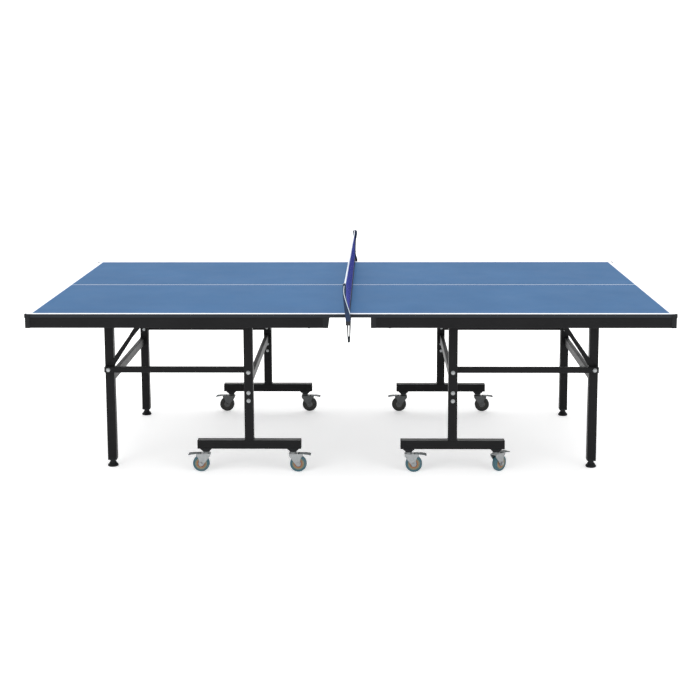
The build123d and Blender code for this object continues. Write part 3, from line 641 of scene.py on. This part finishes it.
def around(low, high, plane, level, step=0.0035):
    """Points round a rectangle: plane names the two axes it spans, level is the third."""
    a, b = plane
    fixed = 3 - a - b
    corners = [(low[0], low[1]), (high[0], low[1]), (high[0], high[1]), (low[0], high[1])]
    points = []
    for (u0, v0), (u1, v1) in zip(corners, corners[1:] + corners[:1]):
        parts = max(2, round(math.hypot(u1 - u0, v1 - v0) / step))
        for i in range(parts):
            place = [0.0, 0.0, 0.0]
            place[a] = u0 + (u1 - u0) * i / parts
            place[b] = v0 + (v1 - v0) * i / parts
            place[fixed] = level
            points.append(Vector(place))
    return points


def turned(shape, centre, axis, outline, count=20, mark=0):
    """A turned piece: outline is (distance along the axis, radius), from base to top."""
    side = axis.orthogonal().normalized()
    up = axis.cross(side)
    rings = [shape.ring(tube_ring(centre + along * axis, side, up, radius, count))
             for along, radius in outline]
    for a, b in zip(rings, rings[1:]):
        shape.bridge(a, b, mark)
    shape.cap(rings[-1], mark)


def post_welds(side, sx):
    """The bead where each stand post meets its foot bar."""
    bar_top, gap, inset = 0.148, 0.0008, 0.001
    post_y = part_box(f"{side}_tee_frames")[1].y - half_tube
    welds = Shape(f"{side}_post_welds", "weld")
    for s in ENDS.values():
        low = (sx * stand_post_x - half_tube - gap, s * post_y - half_tube + inset)
        high = (sx * stand_post_x + half_tube + gap, s * post_y + half_tube - inset)
        bead(welds, around(low, high, (0, 1), bar_top), UP, 0.0016)
    welds.build(f"{side}_stand", 60.0)


def leg_welds(side, sx):
    """The bead where the flat tube between the legs meets each leg."""
    tube_x, half_width, tube_low, tube_high, leg_face_y = 1.093, 0.0105, 0.3745, 0.4155, 0.427
    welds = Shape(f"{side}_leg_welds", "weld")
    for s in ENDS.values():
        low, high = (sx * tube_x - half_width, tube_low), (sx * tube_x + half_width, tube_high)
        bead(welds, around(low, high, (0, 2), s * leg_face_y), Vector((0, -s, 0)), 0.0014)
    welds.build(f"{side}_legs", 60.0)


def rail_screws(side, sx):
    """Pan head screws under three rails, six to a rail."""
    rail_bottom = 0.724
    head = [(0.0, 0.0042), (0.0007, 0.0042), (0.0015, 0.0030), (0.0017, 0.0016),
            (0.0012, 0.0014), (0.0011, 0.0004)]
    screws = Shape(f"{side}_rail_screws", "bolt")
    for x in (inner_rail_x, stand_post_x, leg_x):
        for y in (-0.66, -0.36, -0.12, 0.12, 0.36, 0.66):
            turned(screws, Vector((sx * x, y, rail_bottom)), -UP, head)
    screws.build(f"{side}_table", 30.0)


def foot_ribs(side, sx, end, s):
    """Sixteen ribs from the flared base of a levelling foot up to its neck."""
    low_outline = ((0.0224, -0.0009, 0.0082), (0.0224, 0.0009, 0.0082),
                   (0.0238, 0.0008, 0.0070), (0.0238, -0.0008, 0.0070))
    top_outline = ((0.0136, -0.0007, 0.0205), (0.0136, 0.0007, 0.0205),
                   (0.0152, 0.0006, 0.0190), (0.0152, -0.0006, 0.0190))
    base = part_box(f"{side}_{end}_foot")[0].z
    centre = Vector((sx * leg_x, s * leg_y, base))
    ribs = Shape(f"{side}_{end}_foot_ribs", "plastic")
    count = 16
    for i in range(count):
        t = 2 * math.pi * i / count
        out = Vector((math.cos(t), math.sin(t), 0))
        across = Vector((-math.sin(t), math.cos(t), 0))
        ribs.loft([ribs.ring([centre + r * out + w * across + z * UP for r, w, z in outline])
                   for outline in (low_outline, top_outline)])
    ribs.build(f"{side}_{end}_leveller", 40.0)


def clamp_screws():
    """The screw head on the outer face of each net clamp."""
    clamp_depth, level = 0.016, 0.741
    head = [(0.0, 0.0040), (0.0008, 0.0040), (0.0016, 0.0030), (0.0018, 0.0014), (0.0012, 0.0012)]
    screws = Shape("clamp_screws", "bolt")
    for s in ENDS.values():
        place = Vector((net_post_x, s * (edge_y + clamp_depth), level))
        turned(screws, place, Vector((0, s, 0)), head)
    screws.build("left_table", 30.0)


def gap_shade_strip():
    """A thin black strip in the gap between the two boards, on the left one's edge: painted shade, so the bright
    floor doesn't show through the gap.
    """
    profile = [(-0.0015, 0.7450), (0.0001, 0.7450), (0.0005, 0.7456), (0.0005, 0.7564),
               (0.0001, 0.7570), (-0.0015, 0.7570)]
    length, parts = 1.520, 60
    shade_strip = Shape("gap_shade_strip", "plastic")
    shade_strip.loft([shade_strip.ring([(x, y, z) for x, z in profile])
               for y in (-length / 2 + length * i / parts for i in range(parts + 1))])
    shade_strip.build("left_table", 40.0)


for side, sx in SIDES.items():
    post_welds(side, sx)
    leg_welds(side, sx)
    rail_screws(side, sx)
    for end, s in ENDS.items():
        foot_ribs(side, sx, end, s)
clamp_screws()
gap_shade_strip()


# ---- stage, light and camera ------------------------------------------------------------------
def area_light(name, place, target, size, power, color=(1.0, 1.0, 1.0)):
    """A soft rectangular light aimed at a point."""
    data = bpy.data.lights.new(name, "AREA")
    data.shape = "RECTANGLE"
    data.size, data.size_y = size
    data.energy = power
    data.color = color
    light = bpy.data.objects.new(name, data)
    light.location = place
    light.rotation_euler = (Vector(target) - Vector(place)).to_track_quat("-Z", "Y").to_euler()
    bpy.context.scene.collection.objects.link(light)


def studio():
    """A pale floor that curves up behind the table, and soft light from above and in front."""
    mesh = bpy.data.meshes.new("studio_floor")
    half, near, far, bend, rise = 30.0, -14.0, 9.0, 4.0, 14.0
    line = [(near, 0.0), (far, 0.0)]
    line += [(far + bend * math.sin(a), bend - bend * math.cos(a))
             for a in (math.pi / 2 * i / 16 for i in range(1, 17))]
    line += [(far + bend, rise)]
    corners = [(x, y, z) for y, z in line for x in (-half, half)]
    mesh.from_pydata(corners, [], [(2 * i, 2 * i + 1, 2 * i + 3, 2 * i + 2)
                                   for i in range(len(line) - 1)])
    mesh.polygons.foreach_set("use_smooth", [True] * len(mesh.polygons))
    mesh.materials.append(materials["floor"])
    floor = bpy.data.objects.new("studio_floor", mesh)
    bpy.context.scene.collection.objects.link(floor)
    world = bpy.data.worlds.new("studio")
    world.use_nodes = True
    sky = world.node_tree.nodes["Background"]
    sky.inputs["Color"].default_value = (1.0, 1.0, 1.0, 1.0)
    sky.inputs["Strength"].default_value = 0.90
    bpy.context.scene.world = world
    area_light("overhead", (0.0, 0.2, 5.2), (0.0, 0.0, 0.7), (7.0, 4.5), 170.0)
    area_light("front_left", (-3.8, -5.4, 3.0), (0.0, 0.0, 0.5), (3.4, 2.6), 80.0)
    area_light("front_right", (4.2, -4.8, 2.4), (0.3, 0.0, 0.5), (3.0, 2.4), 60.0)


def camera():
    """The camera, solved from the table's own corners: place, turn and lens."""
    place = Vector((0.10353, -6.21630, 1.78285))
    yaw, pitch, roll = -0.0184, 0.1443, 0.0032
    ahead = Vector((math.sin(yaw) * math.cos(pitch), math.cos(yaw) * math.cos(pitch),
                    -math.sin(pitch)))
    right = Vector((math.cos(yaw), -math.sin(yaw), 0.0))
    down = ahead.cross(right)
    right_rolled = math.cos(roll) * right + math.sin(roll) * down
    down_rolled = math.cos(roll) * down - math.sin(roll) * right
    data = bpy.data.cameras.new("camera")
    data.sensor_width = 36.0
    data.lens = 67.63
    data.shift_y = -0.1286
    data.clip_end = 200.0
    view = bpy.data.objects.new("camera", data)
    turn = Matrix((right_rolled, -down_rolled, -ahead)).transposed().to_4x4()
    view.matrix_world = Matrix.Translation(place) @ turn
    bpy.context.scene.collection.objects.link(view)
    bpy.context.scene.camera = view


studio()
camera()
bpy.context.scene.view_settings.view_transform = "Standard"
